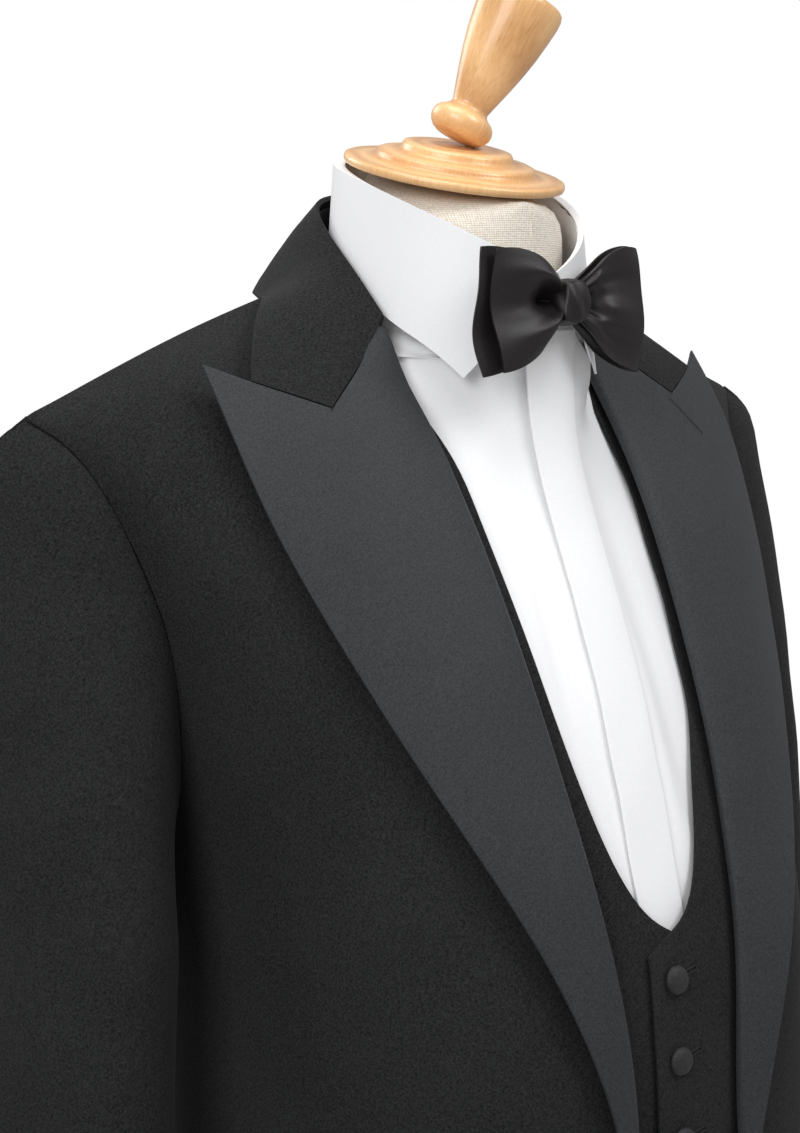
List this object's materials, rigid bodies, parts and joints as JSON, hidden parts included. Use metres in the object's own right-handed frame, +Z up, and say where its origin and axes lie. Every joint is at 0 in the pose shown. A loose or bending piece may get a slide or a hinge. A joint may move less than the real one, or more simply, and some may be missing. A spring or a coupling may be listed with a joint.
{
  "type": "tuxedo on a dress form",
  "caption": "Peak-lapel dinner jacket worn open over a low-cut waistcoat, dress shirt and bow tie, on a limbless linen dress form with a turned wooden stand.",
  "frame": {"origin": "centre of the round base, on its underside", "axes": "+Z up, the form faces -Y, and the wearer's left is +X"},
  "size_m": [0.575, 0.3685, 1.646],
  "materials": {
    "wool": "matt charcoal black wool with a fine weave",
    "lapelFacing": "fine ribbed facing, faintly lighter than the wool",
    "satin": "black satin with a soft sheen",
    "cotton": "white cotton",
    "linen": "coarse natural linen",
    "beech": "lightly varnished beech",
    "covered": "cloth covered button"
  },
  "bodies": {
    "root": {"jacket_front_left": "wool", "jacket_front_right": "wool", "jacket_side_left": "wool", "jacket_side_right": "wool", "jacket_back_left": "wool", "jacket_back_right": "wool", "sleeve_top_left": "wool", "sleeve_top_right": "wool", "sleeve_under_left": "wool", "sleeve_under_right": "wool", "jacket_collar": "wool", "jacket_collar_stand": "wool", "lapel_left": "lapelFacing", "lapel_right": "lapelFacing", "waistcoat_front_left": "wool", "waistcoat_front_right": "wool", "waistcoat_back": "wool", "shirt_front_left": "cotton", "shirt_front_right": "cotton", "shirt_back": "cotton", "shirt_placket": "cotton", "shirt_collar": "cotton", "shirt_collar_stand": "cotton", "bow_knot": "satin", "bow_wing_front_left": "satin", "bow_wing_front_right": "satin", "bow_wing_back_left": "satin", "bow_wing_back_right": "satin", "waistcoat_button_1": "covered", "waistcoat_button_2": "covered", "waistcoat_button_3": "covered", "waistcoat_button_4": "covered", "jacket_button": "covered", "form_torso": "linen", "neck_cap": "beech", "neck_knob": "beech", "stand_pole": "beech", "stand_base": "beech"}
  },
  "joints": []
}
